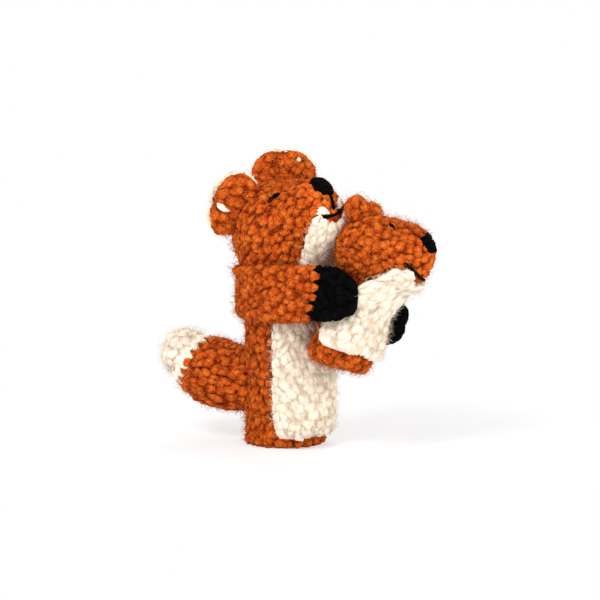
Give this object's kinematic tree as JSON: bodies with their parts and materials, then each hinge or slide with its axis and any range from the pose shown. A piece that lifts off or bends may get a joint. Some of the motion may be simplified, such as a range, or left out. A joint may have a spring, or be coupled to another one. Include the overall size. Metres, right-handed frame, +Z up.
{
  "type": "finger puppet",
  "caption": "Crocheted wool finger puppet of a standing fox that holds its cub, with a tube for the finger, a stuffed head and tail, and arms round the cub.",
  "frame": {"origin": "middle of the puppet's base plane, seen from above", "axes": "+Z up along the tube for the finger, the fox faces -Y, its left side is +X"},
  "size_m": [0.0382, 0.092, 0.0912],
  "materials": {
    "orange_wool": "fuzzy crocheted wool",
    "cream_wool": "fuzzy crocheted wool",
    "black_wool": "wool thread",
    "wadding": "soft fibre filling"
  },
  "bodies": {
    "root": {"fox_body": "orange_wool", "fox_belly": "cream_wool", "fox_head": "orange_wool", "fox_head_stuffing": "wadding", "fox_chin": "cream_wool", "fox_nose": "black_wool", "fox_nose_stitch": "black_wool", "fox_mouth": "black_wool", "fox_right_eye": "black_wool", "fox_left_eye": "black_wool", "fox_right_ear": "orange_wool", "fox_right_ear_lining": "cream_wool", "fox_left_ear": "orange_wool", "fox_left_ear_lining": "cream_wool", "fox_right_arm": "orange_wool", "fox_right_paw": "black_wool", "fox_left_arm": "orange_wool", "fox_left_paw": "black_wool", "fox_tail": "orange_wool", "fox_tail_tip": "cream_wool", "fox_tail_stuffing": "wadding", "cub_body": "orange_wool", "cub_body_stuffing": "wadding", "cub_front": "cream_wool", "cub_head": "orange_wool", "cub_head_stuffing": "wadding", "cub_nose": "black_wool", "cub_mouth": "black_wool", "cub_right_eye": "black_wool", "cub_left_eye": "black_wool", "cub_right_ear": "orange_wool", "cub_left_ear": "orange_wool"}
  },
  "joints": []
}
